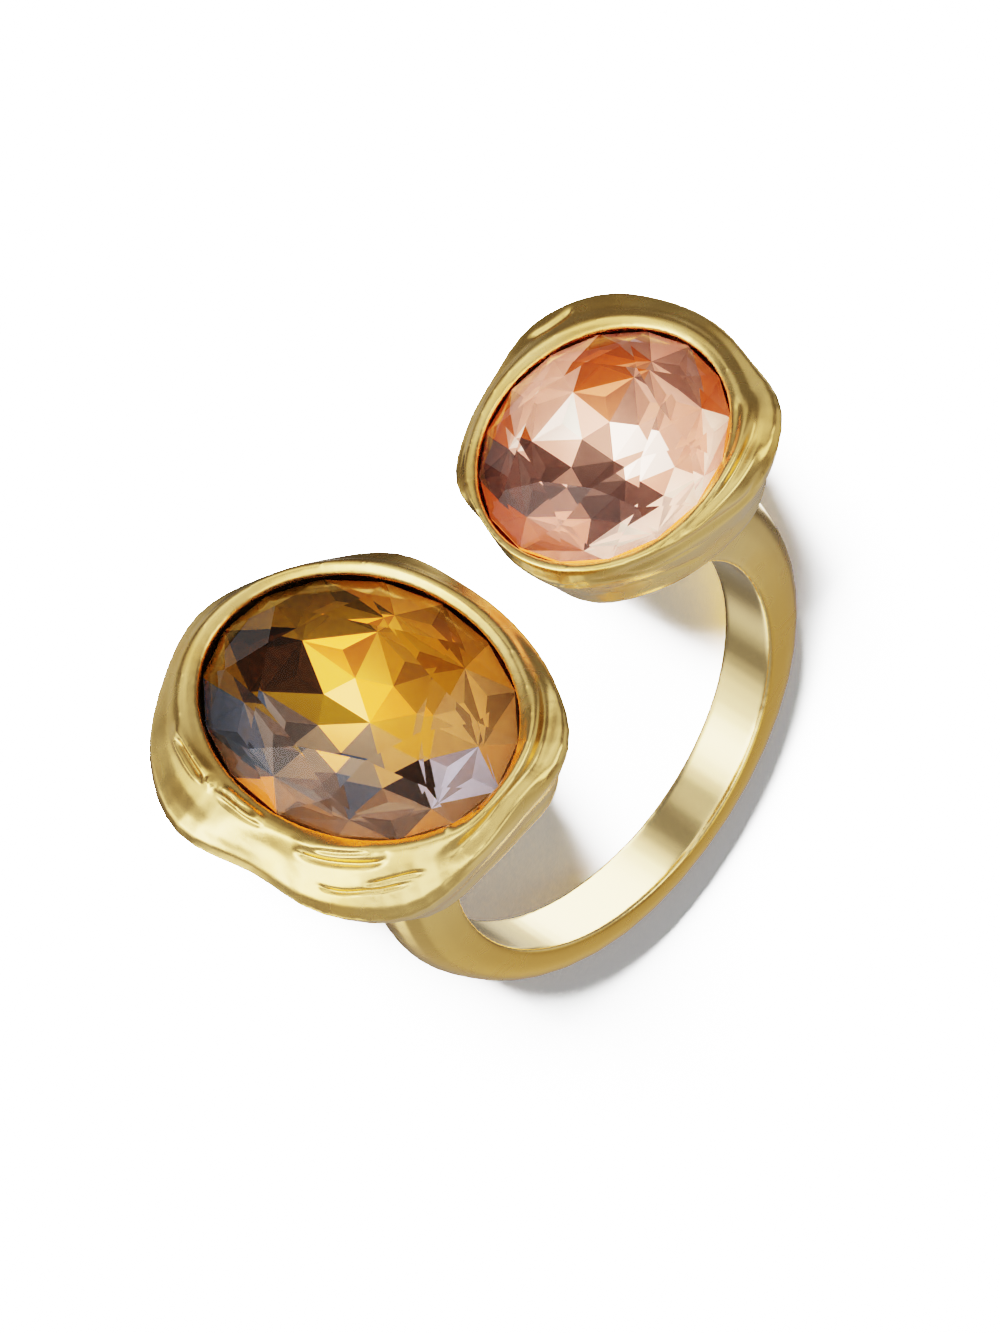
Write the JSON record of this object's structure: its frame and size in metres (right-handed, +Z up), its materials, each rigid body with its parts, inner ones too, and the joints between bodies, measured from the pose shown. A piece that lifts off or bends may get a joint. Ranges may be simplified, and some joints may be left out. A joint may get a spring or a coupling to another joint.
{
  "type": "adjustable open ring",
  "caption": "Open finger ring of cast metal that bends to fit, with a large oval and a smaller round faceted stone in wavy cups at its ends.",
  "frame": {"origin": "middle of the underside of the box round the ring as it lies on its side", "axes": "+Z up from the surface, -Y the way both stones face, +X towards the large cup"},
  "size_m": [0.0278, 0.0244, 0.0157],
  "materials": {
    "gold": "satin yellow gold plate over cast brass, smoother inside the band, with soft casting folds",
    "champagne_crystal": "polished champagne-brown cut crystal with a mirrored back",
    "rose_crystal": "polished pale rose cut crystal with a mirrored back"
  },
  "bodies": {
    "root": {"ring_body": "gold", "champagne_stone": "champagne_crystal", "rose_stone": "rose_crystal"}
  },
  "joints": []
}
